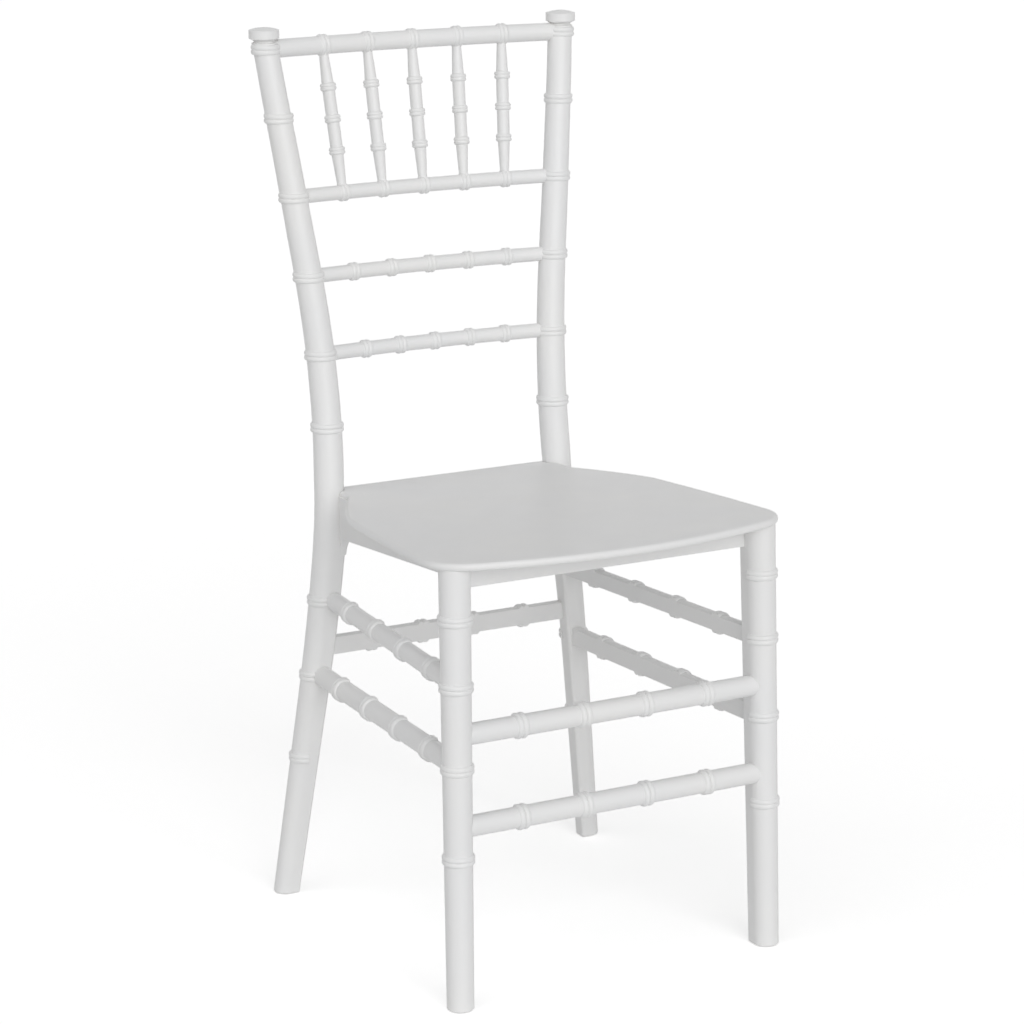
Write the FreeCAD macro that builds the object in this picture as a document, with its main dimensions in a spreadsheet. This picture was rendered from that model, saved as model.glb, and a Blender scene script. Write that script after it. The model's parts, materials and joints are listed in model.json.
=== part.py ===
import FreeCAD, Part
import math
import os
import Sketcher

from FreeCAD import Placement, Rotation, Vector

# A white ballroom chair with bamboo-like double rings on every member.
# Millimetres. The left half is at negative X, Y runs to the back and Z runs up
# from the floor. The middle of the chair's width and depth is at X = Y = 0.

SIZES = [
    ("overall_height", 914.4, "floor to the middles of the finial tops"),
    ("finial_height", 15.8, "top of the upper ring to the top of the finial"),
    ("seat_height", 448.8, "floor to the seat top above the front leg axes"),
    ("seat_tilt", 1.55, "slope of the seat down to the back, degrees"),
    # Levels of the members and rings.
    ("shoulder_ring_height", 822.8, "plain ring on each back post"),
    ("spindle_rail_height", 742.4, "rail under the spindles"),
    ("upper_slat_height", 660.9, "upper cross slat of the back"),
    ("lower_slat_height", 580.3, "lower cross slat of the back"),
    ("waist_ring_height", 505.3, "plain ring on each back post above the seat"),
    ("knee_ring_height", 390.3, "plain ring on each front leg under the seat"),
    ("upper_side_height", 324.1, "upper side stretchers"),
    ("lower_side_height", 243.4, "lower side stretchers"),
    ("upper_front_height", 275.6, "upper front stretcher"),
    ("lower_front_height", 183.8, "lower front stretcher"),
    ("rear_stretcher_height", 272.6, "rear stretcher"),
    ("ankle_ring_height", 153.0, "lowest ring on all four legs"),
    ("back_foot_length", 40.0, "lowest ring down to the straight foot of a back post"),
    # Back posts: path of the axis in front view and in side view.
    ("back_foot_half", 186.6, "middle of the chair to a back foot axis"),
    ("back_leg_splay", 6.95, "lean of a back leg outwards to its foot, degrees"),
    ("back_post_flare", 6.95, "lean of a back post outwards to its top, degrees"),
    ("flare_bend_start", 355.0, "height where the sideways bend starts"),
    ("flare_bend_end", 656.0, "height where the sideways bend ends"),
    ("foot_depth", 380.0, "front foot axis to back foot axis"),
    ("back_leg_rake", 4.86, "lean of a back leg backwards to its foot, degrees"),
    ("recline_low", 5.38, "recline of a back post just above the seat, degrees"),
    ("recline_top", 8.93, "recline of a back post at its top, degrees"),
    ("recline_bend_start", 220.5, "height where the recline starts to turn"),
    ("recline_bend_end", 477.5, "height where the recline becomes gentle"),
    ("post_foot_radius", 12.2, "back leg at the floor"),
    ("post_seat_radius", 15.6, "back post where it is thickest"),
    ("post_top_radius", 12.8, "back post at its top"),
    ("post_widest_height", 470.0, "height where a back post is thickest"),
    # Front legs.
    ("front_foot_half", 176.7, "middle of the chair to a front foot axis"),
    ("front_leg_splay", 0.62, "lean of a front leg outwards to its foot, degrees"),
    ("front_leg_rake", 1.85, "lean of a front leg forwards to its foot, degrees"),
    ("front_foot_radius", 13.5, "front leg at the floor"),
    ("front_top_radius", 15.6, "front leg under the seat"),
    ("leg_corner_radius", 3.4, "squared inner corner of each leg"),
    ("foot_rounding", 2.0, "rounded lower edge of each leg"),
    # Double rings: each is two round beads side by side.
    ("leg_bead_radius", 3.1, "tube radius of a bead on a post or leg"),
    ("leg_bead_rise", 2.1, "bead above the surface of a post or leg"),
    ("leg_bead_pitch", 4.6, "between the two beads on a post or leg"),
    ("bar_bead_radius", 3.5, "tube radius of a bead on a stretcher"),
    ("bar_bead_rise", 2.3, "bead above the surface of a stretcher"),
    ("bar_bead_pitch", 5.6, "between the two beads on a stretcher"),
    ("rail_bead_radius", 2.9, "tube radius of a bead on a back rail"),
    ("rail_bead_rise", 1.9, "bead above the surface of a back rail"),
    ("rail_bead_pitch", 4.6, "between the two beads on a back rail"),
    ("spindle_bead_radius", 2.4, "tube radius of a bead on a spindle"),
    ("spindle_bead_rise", 1.9, "bead above the surface of a spindle"),
    ("spindle_bead_pitch", 3.4, "between the two beads on a spindle"),
    # Members.
    ("back_bow", 1300.0, "bow of the four back rails seen from above, radius"),
    ("crest_radius", 9.4, "crest rail"),
    ("crest_drop", 6.6, "post top down to the axis of the crest rail"),
    ("spindle_rail_radius", 7.5, "rail under the spindles"),
    ("slat_radius", 7.6, "both cross slats of the back"),
    ("crest_ring_spacing", 52.3, "between rings and spindles on the crest rail"),
    ("spindle_ring_spacing", 47.7, "between rings and spindles on the spindle rail"),
    ("upper_slat_ring_spacing", 45.2, "between rings on the upper slat"),
    ("lower_slat_ring_spacing", 41.2, "between rings on the lower slat"),
    ("front_stretcher_radius", 10.7, "both front stretchers"),
    ("front_ring_spacing", 70.4, "between rings on the front stretchers"),
    ("rear_stretcher_radius", 10.4, "rear stretcher"),
    ("rear_ring_spacing", 61.0, "between rings on the rear stretcher"),
    ("upper_side_radius", 9.5, "upper side stretchers"),
    ("lower_side_radius", 10.6, "lower side stretchers"),
    ("side_ring_spacing", 72.6, "between rings on the side stretchers"),
    ("stretcher_flat", 5.4, "stretcher axis to its flat inner face"),
    ("upper_side_inset", 8.0, "upper side stretcher inside the back leg axis"),
    ("lower_side_inset", 4.6, "lower side stretcher inside the back leg axis"),
    ("side_inset_front", 2.8, "side stretchers inside the front leg axis"),
    # Spindles.
    ("spindle_radius", 6.5, "spindle between its rings"),
    ("spindle_end_radius", 4.3, "spindle at the axis of a rail"),
    ("spindle_ring_gap", 32.9, "between the rings on a spindle"),
    # Spigots, sockets and their play.
    ("stretcher_spigot_radius", 4.8, "spigot of a stretcher"),
    ("rail_spigot_radius", 4.4, "spigot of a back rail"),
    ("spindle_spigot_radius", 2.6, "spigot of a spindle"),
    ("apron_spigot_radius", 3.0, "spigot of an apron"),
    ("spigot_depth", 7.0, "spigot below the surface that it enters"),
    ("spindle_spigot_depth", 4.0, "spindle spigot below the rail's surface"),
    ("spigot_root", 8.0, "part of a spigot inside its own member"),
    ("play", 0.15, "gap all round a spigot, stem or screw"),
    # Seat shell.
    ("seat_back_reach", 8.0, "seat's back edge behind the back post axes"),
    ("seat_front_reach", 51.0, "middle of the front edge ahead of the front legs"),
    ("seat_front_bow", 530.0, "radius of the front edge seen from above"),
    ("seat_front_half", 198.7, "middle of the seat to its unrounded front corner"),
    ("seat_side_half", 178.8, "middle of the seat to its side where it turns in"),
    ("seat_side_depth", 214.0, "front leg axis back to where the side turns in"),
    ("seat_side_bulge", 2.4, "bow of the seat's side"),
    ("seat_side_rounding", 60.0, "turn of the seat's side seen from above"),
    ("seat_neck_half", 131.0, "middle of the seat to its neck beside a back post"),
    ("seat_neck_gap", 36.0, "back post axis forward to the seat's neck"),
    ("seat_neck_bulge", 3.0, "bow of the edge between side and neck"),
    ("seat_neck_rounding", 20.0, "hollow turn at the seat's neck seen from above"),
    ("seat_corner_radius", 46.0, "front corners of the seat seen from above"),
    ("seat_thickness", 8.0, "seat shell at its edge"),
    ("seat_edge_rounding", 3.7, "rounding of the seat's edge"),
    ("seat_notch_gap", 0.6, "gap between the seat and a back post"),
    ("seat_pocket_depth", 3.6, "hollow under the middle of the seat"),
    ("seat_pocket_margin", 14.0, "aprons to the hollow under the seat"),
    # Aprons under the seat.
    ("apron_thickness", 10.0, "all four aprons"),
    ("front_apron_inset", 4.5, "front leg axis back to the front apron's face"),
    ("front_apron_drop", 22.8, "seat's underside to the front apron's edge"),
    ("rear_apron_drop", 26.0, "seat's underside to the rear apron's edge"),
    ("side_apron_inset", 5.2, "back post or front leg axis in to a side apron"),
    ("side_apron_drop_back", 42.8, "seat's underside to a side apron's edge, back"),
    ("side_apron_drop_front", 13.9, "seat's underside to a side apron's edge, front"),
    ("gusset_drop", 16.0, "tail of a side apron down the back post"),
    ("gusset_reach", 6.0, "tail of a side apron along its lower edge"),
    ("gusset_waist", 1.0, "tail of a side apron half way down, in front of the post"),
    ("apron_spigot_level", 6.0, "lower edge of a front or rear apron to its spigots"),
    # Finials.
    ("finial_rim_radius", 15.6, "knob of a finial"),
    ("finial_rim_height", 8.3, "upright rim of a finial"),
    ("finial_dome_rise", 2.8, "dome above the rim of a finial"),
    ("finial_chamfer", 2.6, "slope under the rim of a finial"),
    ("finial_neck_radius", 10.6, "neck under the knob"),
    ("finial_foot_radius", 12.6, "foot of a finial's neck on the post"),
    ("finial_foot_rise", 1.0, "flare at the foot of a finial's neck"),
    ("finial_stem_radius", 4.0, "stem of a finial in the post"),
    ("finial_stem_length", 9.0, "stem of a finial in the post"),
    # Foot glides.
    ("glide_radius", 8.8, "foot glide"),
    ("glide_sunk", 2.0, "glide's disc inside the leg"),
    ("glide_proud", 0.6, "glide below the end of the leg"),
    ("glide_rounding", 0.6, "lower edge of a glide"),
    ("glide_stem_radius", 4.0, "stem of a glide in the leg"),
    ("glide_stem_length", 12.0, "stem of a glide in the leg"),
    # Screws that hold the seat to the aprons.
    ("screw_shank_radius", 1.8, "screw shank"),
    ("screw_head_radius", 3.3, "screw head"),
    ("screw_head_height", 2.6, "screw head"),
    ("screw_grip", 9.0, "apron between the screw head and the seat"),
    ("screw_bite", 5.0, "screw in the seat"),
    ("screw_half", 90.0, "middle of the chair to a front or rear screw"),
]

doc = FreeCAD.newDocument("ballroom_chair")
sheet = doc.addObject("Spreadsheet::Sheet", "Sizes")
for row, (alias, value, note) in enumerate(SIZES, start=1):
    sheet.set("A%d" % row, alias)
    sheet.set("B%d" % row, str(value))
    sheet.setAlias("B%d" % row, alias)
    sheet.set("C%d" % row, note)
doc.recompute()


def size(alias):
    """Value of one cell of the sheet."""
    return float(getattr(sheet, alias))


def slope(alias):
    """Run per unit of height for an angle that the sheet gives in degrees."""
    return math.tan(math.radians(size(alias)))


def amount(text):
    """Value of a sum of sizes, such as "crest_radius + rail_bead_rise"."""
    result = 0.0
    sign = 1
    for word in text.split():
        if word in ("+", "-"):
            sign = 1 if word == "+" else -1
        else:
            result += sign * size(word)
    return result


def formula(text):
    """The same sum as an expression on the sheet."""
    words = [word if word in ("+", "-") else "Sizes." + word for word in text.split()]
    return " ".join(words)


ORIGIN = Vector(0, 0, 0)
SIDEWAYS = Vector(1, 0, 0)
BACKWARDS = Vector(0, 1, 0)
UP = Vector(0, 0, 1)
# A cutting or joining body runs this far past the surface that it meets.
OVERLAP = 6.0
POST_TOP = amount("overall_height - finial_height")
CREST_HEIGHT = POST_TOP - size("crest_drop")


# Axes of the posts and legs

def bent_offset(height, foot, low, middle, top, start, end):
    """Sideways place of a bent post's axis at a height.

    The slope is constant up to start, turns steadily to its middle value at
    end, and then turns steadily to its top value at the top of the post.
    """
    straight = low * min(height, start)
    turn = min(max(height, start), end) - start
    bend = low * turn + (middle - low) * turn ** 2 / (2 * (end - start))
    rest = max(height, end) - end
    upper = middle * rest + (top - middle) * rest ** 2 / (2 * (POST_TOP - end))
    return foot + straight + bend + upper


def back_half(height):
    """Middle of the chair to a back post's axis."""
    return bent_offset(height, size("back_foot_half"), -slope("back_leg_splay"),
                       slope("back_post_flare"), slope("back_post_flare"),
                       size("flare_bend_start"), size("flare_bend_end"))


def back_depth(height):
    """Front foot axis to a back post's axis."""
    return bent_offset(height, size("foot_depth"), -slope("back_leg_rake"),
                       slope("recline_low"), slope("recline_top"),
                       size("recline_bend_start"), size("recline_bend_end"))


def front_half(height):
    """Middle of the chair to a front leg's axis."""
    return size("front_foot_half") - slope("front_leg_splay") * height


def front_depth(height):
    """Front foot axis to a front leg's axis."""
    return slope("front_leg_rake") * height


def bow_drop(height):
    """Centre of a back rail's bow forward of the back posts' axes."""
    return math.sqrt(size("back_bow") ** 2 - back_half(height) ** 2)


def middle_depth():
    """Front foot axis to the middle of the chair's depth."""
    tilt = math.radians(size("seat_tilt"))
    front = front_depth(size("seat_height")) - size("seat_front_reach") * math.cos(tilt)
    front -= size("seat_thickness") / 2 * math.sin(tilt)
    finial_back = back_depth(POST_TOP) + size("finial_rim_radius")
    crest_back = back_depth(CREST_HEIGHT) + size("back_bow") - bow_drop(CREST_HEIGHT)
    crest_back += amount("crest_radius + rail_bead_rise")
    return (front + max(finial_back, crest_back)) / 2


MIDDLE = middle_depth()


def back_axis(height):
    """Point on the axis of the left back post."""
    return Vector(-back_half(height), back_depth(height) - MIDDLE, height)


def front_axis(height):
    """Point on the axis of the left front leg."""
    return Vector(-front_half(height), front_depth(height) - MIDDLE, height)


def bow_centre(height):
    """Centre of the circle that a back rail's axis follows, seen from above."""
    return Vector(0, back_axis(height).y - bow_drop(height), height)


def bow_place(height, along):
    """Placement on a back rail's axis, with Z along the rail to the right.

    The distance is measured along the rail from the middle of the chair.
    """
    turn = along / size("back_bow")
    out = Vector(math.sin(turn), math.cos(turn), 0)
    return Placement(bow_centre(height) + out * size("back_bow"),
                     Rotation(UP, Vector(out.y, -out.x, 0)))


def back_radius(height):
    """Radius of a back post at a height."""
    widest = size("post_widest_height")
    if height < widest:
        share = height / widest
        return size("post_foot_radius") * (1 - share) + size("post_seat_radius") * share
    share = (height - widest) / (POST_TOP - widest)
    return size("post_seat_radius") * (1 - share) + size("post_top_radius") * share


def front_radius(height):
    """Radius of a front leg at a height."""
    share = height / size("seat_height")
    return size("front_foot_radius") * (1 - share) + size("front_top_radius") * share


def across(axis, height):
    """Placement at a height of a post, with Z along the post."""
    along = axis(height + 1) - axis(height - 1)
    return Placement(axis(height), Rotation(UP, along))


SEAT_LEG = front_axis(size("seat_height"))
SEAT_POST = back_axis(size("seat_height"))


def seat_under(depth):
    """Height of the seat's lower surface at a depth."""
    top = size("seat_height") - slope("seat_tilt") * (depth - SEAT_LEG.y)
    return top - size("seat_thickness")


def mirror_point(point):
    """The same point on the chair's right side."""
    return Vector(-point.x, point.y, point.z)


# Building blocks that are bound to the sheet

def feature(kind, name, place, **sizes):
    """Part feature at a placement; a size given as text is bound to the sheet."""
    item = doc.addObject(kind, name)
    for key, value in sizes.items():
        if isinstance(value, str):
            item.setExpression(key, formula(value))
        else:
            setattr(item, key, value)
    item.Placement = place
    return item


def joined(name, items):
    """One solid, or one set of separate solids, from several features."""
    whole = doc.addObject("Part::MultiFuse", name)
    whole.Shapes = items
    whole.Refine = False
    return whole


def cut_away(name, base, tools):
    """A feature with several others cut away from it one after the other."""
    for number, tool in enumerate(tools, start=1):
        last = number == len(tools)
        cut = doc.addObject("Part::Cut", name if last else "%s_cut_%d" % (name, number))
        cut.Base = base
        cut.Tool = tool
        cut.Refine = False
        base = cut
    return base


def mirrored(name, source):
    """The same piece for the chair's right side."""
    twin = doc.addObject("Part::Mirroring", name)
    twin.Source = source
    twin.Base = ORIGIN
    twin.Normal = SIDEWAYS
    return twin


def shaped(name, shape):
    """Feature for a bent or tapered form."""
    item = doc.addObject("Part::Feature", name)
    item.Shape = shape
    return item


def frame_between(start, end, towards):
    """Placement at start with Z to the end point and X to one side."""
    along = (end - start).normalize()
    side = (towards - along * towards.dot(along)).normalize()
    return Placement(start, Rotation(side, along.cross(side), along, "ZXY"))


def shifted(frame, distance):
    """The placement moved along its own Z."""
    return frame.multiply(Placement(UP * distance, Rotation()))


def beads(name, radius, kind, spots):
    """A double ring round the Z axis of each placement."""
    half = size(kind + "_bead_pitch") / 2
    rings = []
    for spot in spots:
        for level in (-half, half):
            rings.append(feature("Part::Torus", name + "_bead", shifted(spot, level),
                                 Radius1="%s + %s_bead_rise - %s_bead_radius"
                                 % (radius, kind, kind),
                                 Radius2=kind + "_bead_radius"))
    return rings


def spread(spacing, count):
    """Places of a row of rings, centred on the middle of a member."""
    return [spacing * (step - (count - 1) / 2) for step in range(count)]


# Seat shell without its hollow, notches and holes

def bowed_edge(start, end, bulge):
    """Arc from start to end that stands out to its right by the bulge."""
    chord = end - start
    outward = Vector(chord.y, -chord.x, 0).normalize()
    return Part.Arc(start, (start + end) * 0.5 + outward * bulge, end).toShape()


def seat_outline():
    """Edge of the seat seen from above, and its corners that are to be rounded."""
    bow = size("seat_front_bow")
    front = SEAT_LEG.y - size("seat_front_reach")
    half = size("seat_front_half")
    corner = Vector(half, front + bow - math.sqrt(bow ** 2 - half ** 2), 0)
    side = Vector(size("seat_side_half"), SEAT_LEG.y + size("seat_side_depth"), 0)
    neck = Vector(size("seat_neck_half"), SEAT_POST.y - size("seat_neck_gap"), 0)
    back = Vector(size("seat_neck_half"), SEAT_POST.y + size("seat_back_reach"), 0)
    edges = [Part.Arc(mirror_point(corner), Vector(0, front, 0), corner).toShape(),
             bowed_edge(corner, side, size("seat_side_bulge")),
             bowed_edge(side, neck, size("seat_neck_bulge")),
             Part.makeLine(neck, back),
             Part.makeLine(back, mirror_point(back)),
             Part.makeLine(mirror_point(back), mirror_point(neck)),
             bowed_edge(mirror_point(neck), mirror_point(side), size("seat_neck_bulge")),
             bowed_edge(mirror_point(side), mirror_point(corner), size("seat_side_bulge"))]
    return Part.Wire(edges), [(corner, size("seat_corner_radius")),
                              (side, size("seat_side_rounding")),
                              (neck, size("seat_neck_rounding"))]


def upright_edge(shape, point):
    """The upright edge of a shape that stands nearest to a point seen from above."""
    upright = [edge for edge in shape.Edges
               if edge.Vertexes[0].Point.sub(edge.Vertexes[-1].Point).Length
               - edge.BoundBox.ZLength < 0.01 < edge.BoundBox.ZLength]
    return min(upright, key=lambda edge: math.hypot(edge.Vertexes[0].X - point.x,
                                                    edge.Vertexes[0].Y - point.y))


def seat_shape():
    """Tilted seat shell with rounded corners and a rounded edge."""
    outline, corners = seat_outline()
    shell = Part.Face(outline).extrude(UP * -size("seat_thickness"))
    for point, radius in corners:
        pair = [upright_edge(shell, point), upright_edge(shell, mirror_point(point))]
        shell = shell.makeFillet(radius, pair)
    rim = [edge for edge in shell.Edges if edge.BoundBox.ZLength < 0.01]
    shell = shell.makeFillet(size("seat_edge_rounding"), rim)
    return tilted(shell)


def tilted(shape):
    """A shape drawn below Z = 0, moved so that Z = 0 becomes the seat's top."""
    shape.rotate(Vector(0, SEAT_LEG.y, 0), SIDEWAYS, -size("seat_tilt"))
    shape.translate(UP * size("seat_height"))
    return shape


SEAT = shaped("seat_blank", seat_shape())


# Posts and legs without their sockets

def levels(start, end, count):
    """Evenly spaced heights, both ends included."""
    return [start + (end - start) * step / (count - 1) for step in range(count)]


def round_section(radius):
    """Circle round the origin."""
    return Part.Wire([Part.Circle(ORIGIN, UP, radius).toShape()])


def squared_section(radius, turn):
    """Circle round the origin with one quarter drawn out to a rounded corner.

    The corner points to +X and -Y, and is then turned by an angle in degrees.
    """
    corner = size("leg_corner_radius")
    centre = Vector(radius - corner, corner - radius, 0)
    curves = [Part.ArcOfCircle(Part.Circle(ORIGIN, UP, radius), 0, 1.5 * math.pi),
              Part.LineSegment(Vector(0, -radius, 0), Vector(centre.x, -radius, 0)),
              Part.ArcOfCircle(Part.Circle(centre, UP, corner), 1.5 * math.pi, 2 * math.pi),
              Part.LineSegment(Vector(radius, centre.y, 0), Vector(radius, 0, 0))]
    wire = Part.Wire([curve.toShape() for curve in curves])
    wire.rotate(ORIGIN, UP, turn)
    return wire


def limb(axis, heights, section):
    """Smooth solid through sections across a post's axis."""
    wires = []
    for height in heights:
        wire = section(height)
        wire.Placement = across(axis, height).multiply(wire.Placement)
        wires.append(wire)
    return Part.makeLoft(wires, True, False)


def leg_rings(axis, radius, heights, sweep, turn):
    """Level double rings at heights of a post, round a part of its girth."""
    tube = size("leg_bead_radius")
    half = size("leg_bead_pitch") / 2
    rings = []
    for height in heights:
        middle = radius(height) + size("leg_bead_rise") - tube
        for level in (-half, half):
            ring = Part.makeTorus(middle, tube, UP * level, UP, 0, 360, sweep)
            ring.rotate(ORIGIN, UP, turn)
            ring.translate(axis(height))
            rings.append(ring)
    return rings


def level_slab(bottom):
    """Wide cutting block with its lower face at a height."""
    wide = 2 * size("overall_height")
    return Part.makeBox(wide, wide, wide, Vector(-wide / 2, -wide / 2, bottom))


def cut_to_floor(leg):
    """A leg cut level just above the floor, with a rounded lower edge."""
    floor = size("glide_proud")
    leg = leg.cut(level_slab(floor - 2 * size("overall_height")))
    edges = [edge for edge in leg.Edges if edge.BoundBox.ZMax < floor + 0.01]
    return leg.makeFillet(size("foot_rounding"), edges)


def back_post_shape():
    """Left back post: squared inner front corner below the seat, round above."""
    change = size("seat_thickness") / 2 + seat_under(SEAT_POST.y)
    foot_top = amount("ankle_ring_height - back_foot_length")
    foot = limb(back_axis, [-OVERLAP, foot_top],
                lambda height: squared_section(back_radius(height), 0))
    lower = limb(back_axis, levels(foot_top, change, 7),
                 lambda height: squared_section(back_radius(height), 0))
    upper = limb(back_axis, levels(change, POST_TOP + OVERLAP, 10),
                 lambda height: round_section(back_radius(height)))
    upper = upper.cut(level_slab(POST_TOP))
    low_rings = [size("ankle_ring_height"), size("lower_side_height"),
                 size("upper_side_height")]
    high_rings = [size("waist_ring_height"), size("lower_slat_height"),
                  size("upper_slat_height"), size("spindle_rail_height"),
                  size("shoulder_ring_height"), CREST_HEIGHT]
    rings = leg_rings(back_axis, back_radius, low_rings, 270, 0)
    rings += leg_rings(back_axis, back_radius, high_rings, 360, 180)
    return cut_to_floor(foot).multiFuse([lower, upper] + rings)


def front_leg_shape():
    """Left front leg: squared inner rear corner, cut off under the seat."""
    top = seat_under(SEAT_LEG.y) + size("seat_edge_rounding") / 2
    leg = limb(front_axis, [-OVERLAP, top],
               lambda height: squared_section(front_radius(height), 90))
    heights = [size("ankle_ring_height"), size("lower_side_height"),
               size("upper_side_height"), size("knee_ring_height")]
    rings = leg_rings(front_axis, front_radius, heights, 270, 90)
    return cut_to_floor(leg).multiFuse(rings).cut(SEAT.Shape)


# Every piece that receives others, before its sockets are cut.
HOSTS = {
    "back_post_left": shaped("back_post_left_blank", back_post_shape()),
    "front_leg_left": shaped("front_leg_left_blank", front_leg_shape()),
}
for left, right in (("back_post_left", "back_post_right"),
                    ("front_leg_left", "front_leg_right")):
    HOSTS[right] = mirrored(right + "_blank", HOSTS[left])
# The cutting bodies of the sockets and bores in each piece that has them.
BORES = {"back_post_left": [], "front_leg_left": []}
POSTS = ("back_post_left", "back_post_right")
LEGS = ("front_leg_left", "front_leg_right")


# Turned pieces and the side aprons, drawn as profiles

def tie(sketch, index, corner):
    """Ties the start of a profile's line to the sheet or to a number."""
    for kind, value, axis_line in (("DistanceX", corner[0], -2),
                                   ("DistanceY", corner[1], -1)):
        number = amount(value) if isinstance(value, str) else value
        if number == 0:
            sketch.addConstraint(Sketcher.Constraint("PointOnObject", index, 1, axis_line))
            continue
        rule = sketch.addConstraint(Sketcher.Constraint(kind, -1, 1, index, 1, number))
        if isinstance(value, str):
            sketch.setExpression("Constraints[%d]" % rule, formula(value))


def profile(body, name, corners):
    """Closed sketch of straight lines on the body's own XZ plane."""
    plane = [item for item in body.Origin.OriginFeatures if item.Role == "XZ_Plane"][0]
    sketch = body.newObject("Sketcher::SketchObject", name)
    sketch.AttachmentSupport = [(plane, "")]
    sketch.MapMode = "FlatFace"
    points = []
    for corner in corners:
        values = [amount(value) if isinstance(value, str) else value for value in corner]
        points.append(Vector(values[0], values[1], 0))
    count = len(points)
    for index in range(count):
        sketch.addGeometry(Part.LineSegment(points[index], points[(index + 1) % count]))
    for index in range(count):
        before = (index - 1) % count
        sketch.addConstraint(Sketcher.Constraint("Coincident", before, 2, index, 1))
        tie(sketch, index, corners[index])
    return sketch


def turned(name, corners, place):
    """Solid of revolution about the Z axis of a placement."""
    body = doc.addObject("PartDesign::Body", name)
    sketch = profile(body, name + "_profile", corners)
    solid = body.newObject("PartDesign::Revolution", name + "_turned")
    solid.Profile = sketch
    solid.ReferenceAxis = (sketch, ["V_Axis"])
    solid.Angle = 360
    body.Placement = place
    return body


def finial(name, place):
    """Knob with a domed top, an upright rim, a neck and a stem, on the post's top."""
    corners = [(0, "- finial_stem_length"),
               ("finial_stem_radius", "- finial_stem_length"),
               ("finial_stem_radius", 0),
               ("finial_foot_radius", 0),
               ("finial_neck_radius", "finial_foot_rise"),
               ("finial_neck_radius", "finial_height - finial_dome_rise - "
                "finial_rim_height - finial_chamfer"),
               ("finial_rim_radius", "finial_height - finial_dome_rise - "
                "finial_rim_height"),
               ("finial_rim_radius", "finial_height - finial_dome_rise"),
               (0, "finial_height - finial_dome_rise")]
    knob = turned(name + "_knob", corners, place)
    rise = size("finial_dome_rise")
    radius = (size("finial_rim_radius") ** 2 + rise ** 2) / (2 * rise)
    centre = shifted(place, size("finial_height") - radius)
    dome = feature("Part::Sphere", name + "_dome", centre, Radius=radius,
                   Angle1=math.degrees(math.asin(1 - rise / radius)))
    return joined(name, [knob, dome])


def foot_glide(name, place):
    """Plastic disc with a stem, pressed up into a leg."""
    corners = [(0, 0),
               ("glide_radius - glide_rounding", 0),
               ("glide_radius", "glide_rounding"),
               ("glide_radius", "glide_proud + glide_sunk"),
               ("glide_stem_radius", "glide_proud + glide_sunk"),
               ("glide_stem_radius", "glide_proud + glide_sunk + glide_stem_length"),
               (0, "glide_proud + glide_sunk + glide_stem_length")]
    return turned(name, corners, place)


PIECES = {}
FINIAL_PLACE = Placement(back_axis(POST_TOP), Rotation())
PIECES["finial_left"] = finial("finial_left", FINIAL_PLACE)
PIECES["finial_right"] = finial("finial_right",
                                Placement(mirror_point(FINIAL_PLACE.Base), Rotation()))
BORES["back_post_left"].append(
    feature("Part::Cylinder", "finial_bore",
            shifted(FINIAL_PLACE, -amount("finial_stem_length + play")),
            Radius="finial_stem_radius + play", Height="finial_stem_length + finial_height"))

for end, axis, host in (("back", back_axis, "back_post_left"),
                        ("front", front_axis, "front_leg_left")):
    foot = axis(0)
    for side, point in (("left", foot), ("right", mirror_point(foot))):
        glide = "foot_glide_%s_%s" % (end, side)
        PIECES[glide] = foot_glide(glide, Placement(point, Rotation()))
    BORES[host].append(
        feature("Part::Cylinder", "glide_recess", Placement(foot, Rotation()),
                Radius="glide_radius + play", Height="glide_proud + glide_sunk + play"))
    BORES[host].append(
        feature("Part::Cylinder", "glide_bore", Placement(foot, Rotation()),
                Radius="glide_stem_radius + play",
                Height="glide_proud + glide_sunk + glide_stem_length + play"))


# Straight members with spigots

def spigot(name, host, point, inward, distance, radius, depth):
    """Spigot of a member, and the bore that takes it in the receiving piece.

    The receiving piece's surface is at a distance from the point, in the inward
    direction, which points along the member and away from that piece.
    """
    surface = point + inward * distance
    tip = Placement(surface - inward * amount(depth), Rotation(UP, inward))
    if host in BORES:
        BORES[host].append(feature("Part::Cylinder", name + "_bore",
                                   shifted(tip, -size("play")), Radius=radius + " + play",
                                   Height=depth + " + spigot_root"))
    return feature("Part::Cylinder", name + "_spigot", tip, Radius=radius,
                   Height=depth + " + spigot_root")


def fitted(name, body, ends, radius, depth, tools=()):
    """A member shaped to the pieces that it meets, with a spigot at each end.

    Each end is the receiving piece's name, a point on the member's axis inside
    that piece, the direction away from it and the distance of its surface.
    """
    hosts = [HOSTS[end[0]] for end in ends]
    body = cut_away(name + "_body", body, hosts + list(tools))
    pegs = [spigot(name, *end, radius, depth) for end in ends]
    return joined(name, [body] + pegs)


def beaded_bar(name, ends, radius, places, towards):
    """Round bar with double rings and a flat face on one side."""
    start, end = ends[0][1], ends[1][1]
    length = (end - start).Length
    frame = frame_between(start, end, towards)
    bar = feature("Part::Cylinder", name + "_bar", frame, Radius=radius, Height=length)
    spots = [shifted(frame, length / 2 + place) for place in places]
    bar = joined(name + "_beaded", [bar] + beads(name, radius, "bar", spots))
    wide = 4 * size(radius)
    corner = Placement(Vector(size("stretcher_flat"), -wide / 2, 0), Rotation())
    slab = feature("Part::Box", name + "_slab", frame.multiply(corner), Length=wide,
                   Width=wide, Height=length)
    return cut_away(name + "_flat", bar, [slab])


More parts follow.
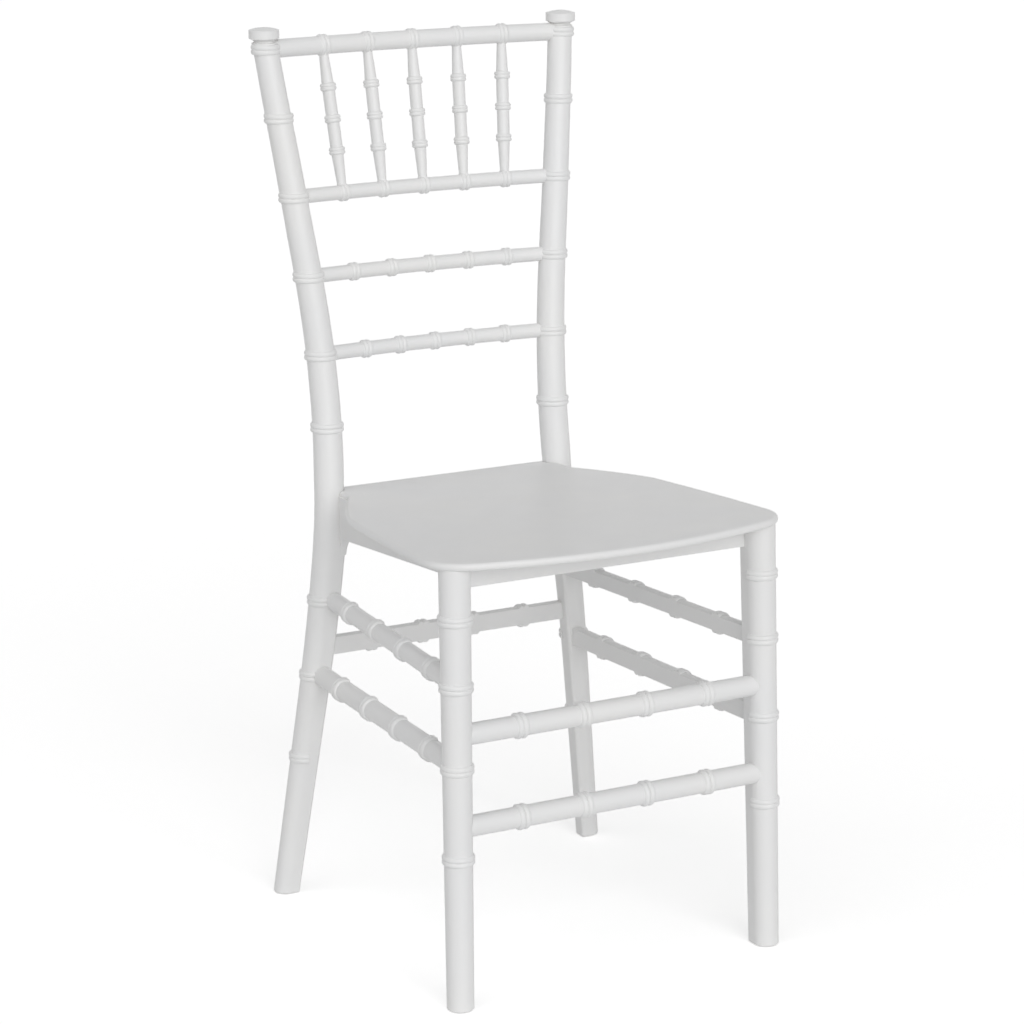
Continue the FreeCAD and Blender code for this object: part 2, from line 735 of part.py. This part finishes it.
def level_stretcher(name, height, axis, radius_at, hosts, radius, spacing, towards):
    """Stretcher between a left and a right post or leg."""
    left = axis(height)
    right = mirror_point(left)
    ends = [(hosts[0], left, SIDEWAYS, radius_at(height)),
            (hosts[1], right, -SIDEWAYS, radius_at(height))]
    bar = beaded_bar(name, ends, radius, spread(size(spacing), 4), towards)
    return fitted(name, bar, ends, "stretcher_spigot_radius", "spigot_depth")


def back_rail(name, height, radius, spacing, tools=()):
    """One of the four bowed rails between the back posts."""
    left = back_axis(height)
    half_turn = math.asin(-left.x / size("back_bow"))
    start = Placement(bow_centre(height), Rotation(UP, 90 - math.degrees(half_turn)))
    bar = feature("Part::Torus", name + "_bar", start, Radius1="back_bow",
                  Radius2=radius, Angle3=2 * math.degrees(half_turn))
    spots = [bow_place(height, place) for place in spread(size(spacing), 5)]
    inward = Vector(math.cos(half_turn), math.sin(half_turn), 0)
    ends = [(POSTS[0], left, inward, back_radius(height)),
            (POSTS[1], mirror_point(left), mirror_point(inward), back_radius(height))]
    bar = joined(name + "_beaded", [bar] + beads(name, radius, "rail", spots))
    return fitted(name, bar, ends, "rail_spigot_radius", "spigot_depth", tools)


HOSTS["crest_rail"] = back_rail("crest_rail_blank", CREST_HEIGHT, "crest_radius",
                                "crest_ring_spacing",
                                (PIECES["finial_left"], PIECES["finial_right"]))
HOSTS["spindle_rail"] = back_rail("spindle_rail_blank", size("spindle_rail_height"),
                                  "spindle_rail_radius", "spindle_ring_spacing")
PIECES["back_slat_upper"] = back_rail("back_slat_upper", size("upper_slat_height"),
                                      "slat_radius", "upper_slat_ring_spacing")
PIECES["back_slat_lower"] = back_rail("back_slat_lower", size("lower_slat_height"),
                                      "slat_radius", "lower_slat_ring_spacing")
BORES["crest_rail"] = []
BORES["spindle_rail"] = []

for name, height in (("front_stretcher_upper", "upper_front_height"),
                     ("front_stretcher_lower", "lower_front_height")):
    PIECES[name] = level_stretcher(name, size(height), front_axis, front_radius, LEGS,
                                   "front_stretcher_radius", "front_ring_spacing",
                                   BACKWARDS)
PIECES["rear_stretcher"] = level_stretcher(
    "rear_stretcher", size("rear_stretcher_height"), back_axis, back_radius, POSTS,
    "rear_stretcher_radius", "rear_ring_spacing", -BACKWARDS)


def side_stretcher(level):
    """Left side stretcher, and its twin on the right."""
    name = "side_stretcher_" + level
    height = size(level + "_side_height")
    back = back_axis(height) + SIDEWAYS * size(level + "_side_inset")
    front = front_axis(height) + SIDEWAYS * size("side_inset_front")
    along = (back - front).normalize()
    ends = [("front_leg_left", front, along, front_radius(height)),
            ("back_post_left", back, -along, back_radius(height))]
    bar = beaded_bar(name, ends, level + "_side_radius",
                     spread(size("side_ring_spacing"), 4), SIDEWAYS)
    left = fitted(name + "_left", bar, ends, "stretcher_spigot_radius", "spigot_depth")
    PIECES[left.Label] = left
    PIECES[name + "_right"] = mirrored(name + "_right", left)


side_stretcher("upper")
side_stretcher("lower")


# Spindles

def spindle(number, low, high):
    """Turned spindle between two points on the axes of its rails."""
    name = "spindle_%d" % number
    length = (high - low).Length
    gap = size("spindle_ring_gap")
    taper = length / 2 - gap
    frame = frame_between(low, high, SIDEWAYS)
    turning = [feature("Part::Cone", name + "_taper", frame, Radius1="spindle_end_radius",
                       Radius2="spindle_radius", Height=taper),
               feature("Part::Cylinder", name + "_shaft", shifted(frame, taper),
                       Radius="spindle_radius",
                       Height="spindle_ring_gap + spindle_ring_gap"),
               feature("Part::Cone", name + "_taper", shifted(frame, taper + 2 * gap),
                       Radius1="spindle_radius", Radius2="spindle_end_radius",
                       Height=taper)]
    spots = [shifted(frame, length / 2 + place) for place in spread(gap, 3)]
    rings = beads(name, "spindle_radius", "spindle", spots)
    along = (high - low).normalize()
    ends = [("spindle_rail", low, along, amount("spindle_rail_radius")),
            ("crest_rail", high, -along, amount("crest_radius"))]
    PIECES[name] = fitted(name, joined(name + "_turning", turning + rings), ends,
                          "spindle_spigot_radius", "spindle_spigot_depth")


for number, (low, high) in enumerate(zip(spread(size("spindle_ring_spacing"), 5),
                                         spread(size("crest_ring_spacing"), 5)), start=1):
    spindle(number, bow_place(size("spindle_rail_height"), low).Base,
            bow_place(CREST_HEIGHT, high).Base)


# Screws up through the aprons into the seat

SCREWS = []
SEAT_HOLES = []


def screw(point):
    """Pan head screw seen from above at a point; gives the bores for it."""
    under = seat_under(point.y)
    base = Vector(point.x, point.y, under - size("screw_grip"))
    seat = Placement(base, Rotation())
    head = Placement(base - UP * size("screw_head_height"), Rotation())
    below = Placement(base - UP * size("seat_height") / 2, Rotation())
    SCREWS.append(feature("Part::Cylinder", "screw_shank", seat,
                          Radius="screw_shank_radius", Height="screw_grip + screw_bite"))
    SCREWS.append(feature("Part::Cylinder", "screw_head", head,
                          Radius="screw_head_radius", Height="screw_head_height"))
    hole = feature("Part::Cylinder", "screw_hole", seat, Radius="screw_shank_radius + play",
                   Height="screw_grip + screw_bite + play")
    recess = feature("Part::Cylinder", "screw_recess", below,
                     Radius="screw_head_radius + play + play",
                     Height=size("seat_height") / 2)
    SEAT_HOLES.append(hole)
    return joined("screw_way", [hole, recess])


# Aprons under the seat

def straight_apron(name, axis, radius_at, hosts, middle, drop):
    """Apron between two posts or legs, with two screws."""
    under = seat_under(middle)
    bottom = under - size(drop)
    left = axis(bottom).x + radius_at(bottom) - size("leg_corner_radius")
    thickness = size("apron_thickness")
    corner = Placement(Vector(left, middle - thickness / 2, bottom), Rotation())
    board = feature("Part::Box", name + "_board", corner, Length=-2 * left,
                    Width="apron_thickness", Height=drop + " + seat_edge_rounding")
    ways = [screw(Vector(place, middle, 0)) for place in (-size("screw_half"),
                                                          size("screw_half"))]
    level = bottom + size("apron_spigot_level")
    point = Vector(axis(level).x, middle, level)
    ends = [(hosts[0], point, SIDEWAYS, radius_at(level)),
            (hosts[1], mirror_point(point), -SIDEWAYS, radius_at(level))]
    PIECES[name] = fitted(name, board, ends, "apron_spigot_radius", "spigot_depth",
                          [SEAT] + ways)


def side_apron():
    """Left apron, deeper at the back, with a tail down the back post."""
    half_seat = size("seat_thickness") / 2
    post_under = seat_under(SEAT_POST.y)
    leg_under = seat_under(SEAT_LEG.y)
    back = back_axis(post_under) + SIDEWAYS * size("side_apron_inset")
    front = front_axis(leg_under) + SIDEWAYS * size("side_apron_inset")
    run = Vector(front.x - back.x, front.y - back.y, 0)
    length = run.Length
    run.normalize()
    low_back = post_under - size("side_apron_drop_back")
    low_front = leg_under - size("side_apron_drop_front")
    rise = (low_front - low_back) / length

    def post_face(height):
        return back.y - back_axis(height).y + back_radius(height)

    inside = size("leg_corner_radius")
    start = post_face(post_under) - inside
    end = length - front_radius(leg_under) + inside
    reach = post_face(low_back) + size("gusset_reach")
    tail = low_back - size("gusset_drop")
    bend = (low_back + tail) / 2
    corners = [(end, low_front),
               (end, leg_under + half_seat),
               (start, post_under + half_seat),
               (start, tail),
               (post_face(tail), tail),
               (post_face(bend) + size("gusset_waist"), bend),
               (reach, low_back + rise * reach)]
    board = doc.addObject("PartDesign::Body", "side_apron_board")
    pad = board.newObject("PartDesign::Pad", "side_apron_pad")
    pad.Profile = profile(board, "side_apron_profile", corners)
    pad.setExpression("Length", formula("apron_thickness"))
    pad.Reversed = True
    inner = UP.cross(run)
    place = Placement(Vector(back.x, back.y, 0), Rotation(run, inner, UP, "XZY"))
    board.Placement = place
    return board, place, length, gusset_trim(low_back, tail)


def gusset_trim(top, bottom):
    """Cutting body that keeps an apron's tail flush with the post's inner side."""
    def inner_side(height):
        return back_axis(height) + SIDEWAYS * back_radius(height)

    up = (inner_side(top) - inner_side(bottom)).normalize()
    inward = BACKWARDS.cross(up)
    wide = size("foot_depth") / 4
    corner = inner_side(bottom) - up * OVERLAP - BACKWARDS * wide / 2
    frame = Placement(corner, Rotation(inward, BACKWARDS, up, "ZXY"))
    return feature("Part::Box", "side_apron_trim", frame, Length=wide, Width=wide,
                   Height=top - bottom + OVERLAP)


def add_side_aprons():
    """Both side aprons, with one screw each."""
    board, place, length, trim = side_apron()
    half = size("apron_thickness") / 2
    run = place.Rotation.multVec(SIDEWAYS)
    front = place.multVec(Vector(length, half, 0))
    back = place.multVec(Vector(0, half, 0))
    way = screw((front + back) * 0.5)
    screw(mirror_point((front + back) * 0.5))
    front.z = seat_under(front.y) - size("side_apron_drop_front") / 2
    back.z = seat_under(back.y) - size("side_apron_drop_back") / 2
    ends = [("front_leg_left", front, -run, front_radius(front.z)),
            ("back_post_left", back, run, back_radius(back.z))]
    left = fitted("side_apron_left", board, ends, "apron_spigot_radius", "spigot_depth",
                  [SEAT, way, trim])
    PIECES["side_apron_left"] = left
    PIECES["side_apron_right"] = mirrored("side_apron_right", left)


straight_apron("front_apron", front_axis, front_radius, LEGS,
               SEAT_LEG.y + size("front_apron_inset") + size("apron_thickness") / 2,
               "front_apron_drop")
straight_apron("rear_apron", back_axis, back_radius, POSTS, SEAT_POST.y,
               "rear_apron_drop")
add_side_aprons()


# Seat shell with its hollow, post notches and screw holes

def seat_pocket():
    """Cutting body for the shallow hollow under the middle of the seat."""
    inset = amount("apron_thickness + seat_pocket_margin")
    front = SEAT_LEG.y + size("front_apron_inset") + inset
    back = SEAT_POST.y - inset
    half = -SEAT_POST.x - size("side_apron_inset") - inset
    pivot = Placement(Vector(0, SEAT_LEG.y, size("seat_height")),
                      Rotation(SIDEWAYS, -size("seat_tilt")))
    corner = Vector(-half, front - SEAT_LEG.y, -size("seat_thickness") - OVERLAP)
    return feature("Part::Box", "seat_pocket", pivot.multiply(Placement(corner, Rotation())),
                   Length=2 * half, Width=back - front, Height=size("seat_pocket_depth") + OVERLAP)


def notch_shape():
    """Cutting body for the seat's notch round the left back post, with a gap."""
    gap = size("seat_notch_gap")
    change = size("seat_thickness") / 2 + seat_under(SEAT_POST.y)
    reach = size("seat_thickness") + OVERLAP
    lower = limb(back_axis, [change - reach, change],
                 lambda height: squared_section(back_radius(height) + gap, 0))
    upper = limb(back_axis, [change, change + reach],
                 lambda height: round_section(back_radius(height) + gap))
    return lower.fuse(upper)


left_notch = shaped("seat_notch", notch_shape())
SEAT_CUTS = [left_notch, mirrored("seat_notch_right", left_notch), seat_pocket(),
             joined("seat_holes", SEAT_HOLES)]
PIECES["seat_shell"] = cut_away("seat_shell", SEAT, SEAT_CUTS)
PIECES["seat_screws"] = joined("seat_screws", SCREWS)

# Sockets and bores in the pieces that receive others
for name, bores in BORES.items():
    PIECES[name] = cut_away(name, HOSTS[name], [joined(name + "_bores", bores)])
for left, right in (("back_post_left", "back_post_right"),
                    ("front_leg_left", "front_leg_right")):
    PIECES[right] = mirrored(right, PIECES[left])

doc.recompute()

# Check and export
for item in doc.Objects:
    if "Invalid" in item.State or "Error" in item.State:
        raise RuntimeError("%s is not built: %s" % (item.Label, item.State))
os.makedirs("parts", exist_ok=True)
for name, piece in PIECES.items():
    if piece.Shape.isNull() or not piece.Shape.isValid():
        raise RuntimeError("%s has no valid shape" % name)
    piece.Label = name
    piece.Shape.exportStep("parts/%s.step" % name)
    box = piece.Shape.BoundBox
    print("%-28s %d solids, %.0f mm3, %.0f x %.0f x %.0f mm"
          % (name, len(piece.Shape.Solids), piece.Shape.Volume,
             box.XLength, box.YLength, box.ZLength))
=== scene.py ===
"""White resin ballroom chair: materials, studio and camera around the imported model.

Metres, in the model's own frame: +X to the right as seen from the chair's front, +Y to
its back and +Z up, with the floor at zero.
"""

import json
import math

import bpy
from mathutils import Matrix, Vector

# The photograph is 1024 pixels square. These place its viewpoint.
PHOTO_PIXELS = 1024
CAMERA_PLACE = Vector((-1.59866, -2.88795, 1.26095))
CAMERA_RIGHT = Vector((0.87476727, -0.48452667, -0.00401698))
CAMERA_DOWN = Vector((-0.12162128, -0.21153584, -0.96977361))
CAMERA_FORWARD = Vector((0.46903144, 0.84881476, -0.24397339))
FOCAL_PIXELS = 3344.84
VIEW_CENTRE = (515.44, 514.71)
SENSOR_WIDTH = 36.0
FARTHEST_VIEW = 100.0

# Lamps: the way the light comes from (degrees round from +X, and above the floor),
# its strength and how wide the source looks.
KEY_LAMP = {"name": "key_lamp", "round": 262.0, "above": 20.0, "strength": 1.3, "width": 46.0}
FILL_LAMP = {"name": "fill_lamp", "round": 200.0, "above": 50.0, "strength": 0.5, "width": 60.0}

# Room: the colour and strength of the soft light from all round.
WHITE = (1.0, 1.0, 1.0, 1.0)
ROOM_LIGHT = 0.32

# Floor: how light its paint is, and what it adds for the camera to look white.
FLOOR_HALF = 30.0
FLOOR_COLOUR = (0.95, 0.95, 0.95, 1.0)
FLOOR_ROUGHNESS = 0.9
FLOOR_GLOW = 0.46

# Noise textures: features to the metre, and how finely they are broken up.
CLOUDS = {"scale": 9.0, "detail": 4.0}
RUBS = {"scale": 38.0, "detail": 6.0, "roughness": 0.6}
WAVES = {"scale": 24.0, "detail": 1.0}
GRIME = {"scale": 160.0, "detail": 8.0, "roughness": 0.7}
DULL_SPOTS = {"scale": 300.0, "detail": 5.0}
SCUFFS = {"scale": 700.0, "detail": 4.0}
PLATING = {"scale": 240.0, "detail": 4.0}
SKIN_DETAIL = 2.0
# Most of a noise's values lie between these two.
NOISE_DARK = 0.3
NOISE_LIGHT = 0.7

# Bumps: how strongly and how far they raise the surface.
WAVE_BUMP = {"strength": 0.35, "distance": 0.0006}
SKIN_BUMP = {"strength": 0.18, "distance": 0.00012}
SCUFF_BUMP = {"strength": 0.5, "distance": 0.0002}
MARK_BUMP = {"strength": 0.3, "distance": 0.00005}

# Resin: a warm and a cool white, between which the moulding wanders, and how much
# rougher it is where it is rubbed.
RESIN_WARM = (0.864, 0.862, 0.855, 1.0)
RESIN_COOL = (0.846, 0.848, 0.851, 1.0)
RESIN_IOR = 1.49
RUBBED_ROUGHNESS = 0.12

# Painted shade in corners, creases and joints, in a dusty tint, from ambient occlusion: how near a
# surface darkens it, how much of the resin's colour it covers at most, and how open a place is where
# the painted shade is darkest and where it ends.
CORNER_SHADE_TINT = (0.700, 0.690, 0.665, 1.0)
CORNER_SHADE_REACH = 0.006
CORNER_SHADE_COVER = 0.35
CORNER_SHADE_DARKEST = 0.35
CORNER_SHADE_END = 0.8
CORNER_SHADE_SAMPLES = 8

# Foot glides: clean and grimy plastic, how much grime covers, and the roughness.
GLIDE_CLEAN = (0.78, 0.78, 0.76, 1.0)
GLIDE_GRIMY = (0.58, 0.57, 0.54, 1.0)
GRIME_COVER = 0.6
GLIDE_ROUGHNESS = (0.5, 0.72)

# Screws: pale and dark plating, the roughness, and turning marks, which are drawn at
# one to the unit and then packed by so many to the metre along X, Y and Z.
STEEL_PALE = (0.66, 0.66, 0.65, 1.0)
STEEL_DARK = (0.52, 0.53, 0.55, 1.0)
STEEL_ROUGHNESS = (0.24, 0.42)
TURNING_MARKS = {"scale": 1.0, "detail": 3.0}
MARKS_TO_THE_METRE = (900.0, 900.0, 4000.0)


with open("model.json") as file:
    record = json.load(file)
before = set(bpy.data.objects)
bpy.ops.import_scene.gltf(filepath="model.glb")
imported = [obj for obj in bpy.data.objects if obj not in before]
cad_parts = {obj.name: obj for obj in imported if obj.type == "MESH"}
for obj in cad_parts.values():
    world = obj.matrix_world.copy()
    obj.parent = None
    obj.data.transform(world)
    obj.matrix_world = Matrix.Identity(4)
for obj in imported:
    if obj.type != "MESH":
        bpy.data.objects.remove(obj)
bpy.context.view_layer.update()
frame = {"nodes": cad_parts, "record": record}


# Node helpers
def add_node(tree, kind, values=None, **settings):
    """A node of one kind, with its settings and the values of its sockets."""
    node = tree.nodes.new(kind)
    for setting, value in settings.items():
        setattr(node, setting, value)
    for socket, value in (values or {}).items():
        node.inputs[socket].default_value = value
    return node


def noise(tree, place, scale, detail, roughness=0.5):
    """Cloudy grey values with so many features to the metre."""
    texture = add_node(
        tree,
        "ShaderNodeTexNoise",
        {"Scale": scale, "Detail": detail, "Roughness": roughness},
    )
    tree.links.new(place, texture.inputs["Vector"])
    return texture.outputs["Fac"]


def between(tree, factor, low, high, from_low=NOISE_DARK, from_high=NOISE_LIGHT):
    """A number that runs from low to high as the factor goes from dark to light."""
    ramp = add_node(
        tree,
        "ShaderNodeMapRange",
        {"From Min": from_low, "From Max": from_high, "To Min": low, "To Max": high},
    )
    tree.links.new(factor, ramp.inputs["Value"])
    return ramp.outputs["Result"]


def blend_colour(tree, factor, first, second):
    """A colour between two others. Either one may be a fixed colour or a socket."""
    mix = add_node(tree, "ShaderNodeMix", data_type="RGBA")
    tree.links.new(factor, mix.inputs["Factor"])
    for socket, colour in (("A", first), ("B", second)):
        target = [s for s in mix.inputs if s.name == socket and s.type == "RGBA"][0]
        if isinstance(colour, tuple):
            target.default_value = colour
        else:
            tree.links.new(colour, target)
    return [s for s in mix.outputs if s.type == "RGBA"][0]


def bump(tree, height, strength, distance, below=None):
    """Raises the surface by a height. It may lie on top of another bump."""
    raised = add_node(
        tree,
        "ShaderNodeBump",
        {"Strength": strength, "Distance": distance},
    )
    tree.links.new(height, raised.inputs["Height"])
    if below is not None:
        tree.links.new(below, raised.inputs["Normal"])
    return raised.outputs["Normal"]


def new_surface(name):
    """An empty material: its node tree, its shader and the place on the piece."""
    material = bpy.data.materials.new(name)
    material.use_nodes = True
    tree = material.node_tree
    shader = tree.nodes["Principled BSDF"]
    place = add_node(tree, "ShaderNodeTexCoord").outputs["Object"]
    return material, tree, shader, place


# Materials
def resin(name, grain, gloss):
    """White moulded resin: satin, with a fine skin, faint waves from cooling, and painted shade in
    its corners.
    """
    material, tree, shader, place = new_surface(name)
    shader.inputs["IOR"].default_value = RESIN_IOR

    cloud = between(tree, noise(tree, place, **CLOUDS), 0.0, 1.0)
    colour = blend_colour(tree, cloud, RESIN_WARM, RESIN_COOL)
    # Painted shade: ambient occlusion lays a dusty-tinted darkening into the colour in corners,
    # creases and where parts meet.
    corner = add_node(
        tree,
        "ShaderNodeAmbientOcclusion",
        {"Distance": CORNER_SHADE_REACH},
        samples=CORNER_SHADE_SAMPLES,
    )
    painted_shade = between(tree, corner.outputs["AO"], CORNER_SHADE_COVER, 0.0, CORNER_SHADE_DARKEST, CORNER_SHADE_END)
    colour = blend_colour(tree, painted_shade, colour, CORNER_SHADE_TINT)
    tree.links.new(colour, shader.inputs["Base Color"])

    rubbed = between(tree, noise(tree, place, **RUBS), gloss, gloss + RUBBED_ROUGHNESS)
    tree.links.new(rubbed, shader.inputs["Roughness"])

    waves = bump(tree, noise(tree, place, **WAVES), **WAVE_BUMP)
    skin = bump(tree, noise(tree, place, grain, detail=SKIN_DETAIL), **SKIN_BUMP, below=waves)
    tree.links.new(skin, shader.inputs["Normal"])
    return material


def glide_plastic():
    """Dull off-white plastic with the scuffs of a floor."""
    material, tree, shader, place = new_surface("glide_plastic_look")
    grime = between(tree, noise(tree, place, **GRIME), 0.0, GRIME_COVER)
    colour = blend_colour(tree, grime, GLIDE_CLEAN, GLIDE_GRIMY)
    tree.links.new(colour, shader.inputs["Base Color"])
    dull = between(tree, noise(tree, place, **DULL_SPOTS), *GLIDE_ROUGHNESS)
    tree.links.new(dull, shader.inputs["Roughness"])
    scuffs = bump(tree, noise(tree, place, **SCUFFS), **SCUFF_BUMP)
    tree.links.new(scuffs, shader.inputs["Normal"])
    return material


def screw_steel():
    """Zinc-plated steel with turning marks across it."""
    material, tree, shader, place = new_surface("screw_steel_look")
    shader.inputs["Metallic"].default_value = 1.0
    streaks = add_node(tree, "ShaderNodeMapping", {"Scale": MARKS_TO_THE_METRE})
    tree.links.new(place, streaks.inputs["Vector"])
    marks = noise(tree, streaks.outputs["Vector"], **TURNING_MARKS)
    patches = between(tree, noise(tree, place, **PLATING), 0.0, 1.0)
    colour = blend_colour(tree, patches, STEEL_PALE, STEEL_DARK)
    tree.links.new(colour, shader.inputs["Base Color"])
    tree.links.new(between(tree, marks, *STEEL_ROUGHNESS), shader.inputs["Roughness"])
    tree.links.new(bump(tree, marks, **MARK_BUMP), shader.inputs["Normal"])
    return material


LOOKS = {
    "frame_resin": resin("frame_resin_look", grain=900.0, gloss=0.34),
    "seat_resin": resin("seat_resin_look", grain=700.0, gloss=0.36),
    "glide_plastic": glide_plastic(),
    "screw_steel": screw_steel(),
}

for part in frame["record"]["subparts"]:
    piece = frame["nodes"][part["node"]]
    for slot in piece.material_slots:
        slot.material = LOOKS[part["material_slot"]]


# Studio
def unlit_white(tree):
    """One for what the camera sees directly, in a reflection or through glass."""
    path = add_node(tree, "ShaderNodeLightPath")
    seen = path.outputs["Is Camera Ray"]
    for kind in ("Is Glossy Ray", "Is Transmission Ray"):
        either = add_node(tree, "ShaderNodeMath", operation="MAXIMUM")
        tree.links.new(seen, either.inputs[0])
        tree.links.new(path.outputs[kind], either.inputs[1])
        seen = either.outputs[0]
    return seen


def make_floor():
    """A plain white floor that keeps the chair's shadow."""
    corners = [(-1, -1), (1, -1), (1, 1), (-1, 1)]
    mesh = bpy.data.meshes.new("studio_floor")
    mesh.from_pydata([(FLOOR_HALF * x, FLOOR_HALF * y, 0.0) for x, y in corners], [], [(0, 1, 2, 3)])
    floor = bpy.data.objects.new("studio_floor", mesh)
    bpy.context.scene.collection.objects.link(floor)

    material = bpy.data.materials.new("studio_floor_paint")
    material.use_nodes = True
    tree = material.node_tree
    paint = tree.nodes["Principled BSDF"]
    paint.inputs["Base Color"].default_value = FLOOR_COLOUR
    paint.inputs["Roughness"].default_value = FLOOR_ROUGHNESS
    paint.inputs["Specular IOR Level"].default_value = 0.0
    glow = add_node(tree, "ShaderNodeEmission")
    share = add_node(tree, "ShaderNodeMath", operation="MULTIPLY")
    share.inputs[1].default_value = FLOOR_GLOW
    tree.links.new(unlit_white(tree), share.inputs[0])
    tree.links.new(share.outputs[0], glow.inputs["Strength"])
    both = add_node(tree, "ShaderNodeAddShader")
    tree.links.new(paint.outputs["BSDF"], both.inputs[0])
    tree.links.new(glow.outputs["Emission"], both.inputs[1])
    tree.links.new(both.outputs[0], tree.nodes["Material Output"].inputs["Surface"])
    mesh.materials.append(material)


def make_room():
    """Soft light from all round, and white behind the chair."""
    world = bpy.data.worlds.new("studio_room")
    world.use_nodes = True
    bpy.context.scene.world = world
    tree = world.node_tree
    ambient = tree.nodes["Background"]
    ambient.inputs["Color"].default_value = WHITE
    ambient.inputs["Strength"].default_value = ROOM_LIGHT
    white = add_node(tree, "ShaderNodeBackground", {"Color": WHITE, "Strength": 1.0})
    choice = add_node(tree, "ShaderNodeMixShader")
    tree.links.new(unlit_white(tree), choice.inputs["Fac"])
    tree.links.new(ambient.outputs["Background"], choice.inputs[1])
    tree.links.new(white.outputs["Background"], choice.inputs[2])
    tree.links.new(choice.outputs[0], tree.nodes["World Output"].inputs["Surface"])


def make_lamp(lamp):
    """One wide, soft, far lamp."""
    light = bpy.data.lights.new(lamp["name"], "SUN")
    light.energy = lamp["strength"]
    light.angle = math.radians(lamp["width"])
    turn, rise = math.radians(lamp["round"]), math.radians(lamp["above"])
    coming_from = Vector(
        (math.cos(turn) * math.cos(rise), math.sin(turn) * math.cos(rise), math.sin(rise))
    )
    thing = bpy.data.objects.new(lamp["name"], light)
    thing.rotation_mode = "QUATERNION"
    thing.rotation_quaternion = coming_from.to_track_quat("Z", "Y")
    bpy.context.scene.collection.objects.link(thing)


def make_camera():
    """The photograph's viewpoint."""
    camera = bpy.data.cameras.new("photo_camera")
    camera.sensor_width = SENSOR_WIDTH
    camera.lens = SENSOR_WIDTH * FOCAL_PIXELS / PHOTO_PIXELS
    camera.shift_x = (PHOTO_PIXELS / 2 - VIEW_CENTRE[0]) / PHOTO_PIXELS
    camera.shift_y = (VIEW_CENTRE[1] - PHOTO_PIXELS / 2) / PHOTO_PIXELS
    camera.clip_end = FARTHEST_VIEW
    thing = bpy.data.objects.new("photo_camera", camera)
    turned = Matrix((CAMERA_RIGHT, -CAMERA_DOWN, -CAMERA_FORWARD)).transposed()
    thing.matrix_world = Matrix.Translation(CAMERA_PLACE) @ turned.to_4x4()
    bpy.context.scene.collection.objects.link(thing)
    bpy.context.scene.camera = thing


make_floor()
make_room()
make_lamp(KEY_LAMP)
make_lamp(FILL_LAMP)
make_camera()
bpy.context.scene.view_settings.view_transform = "Standard"
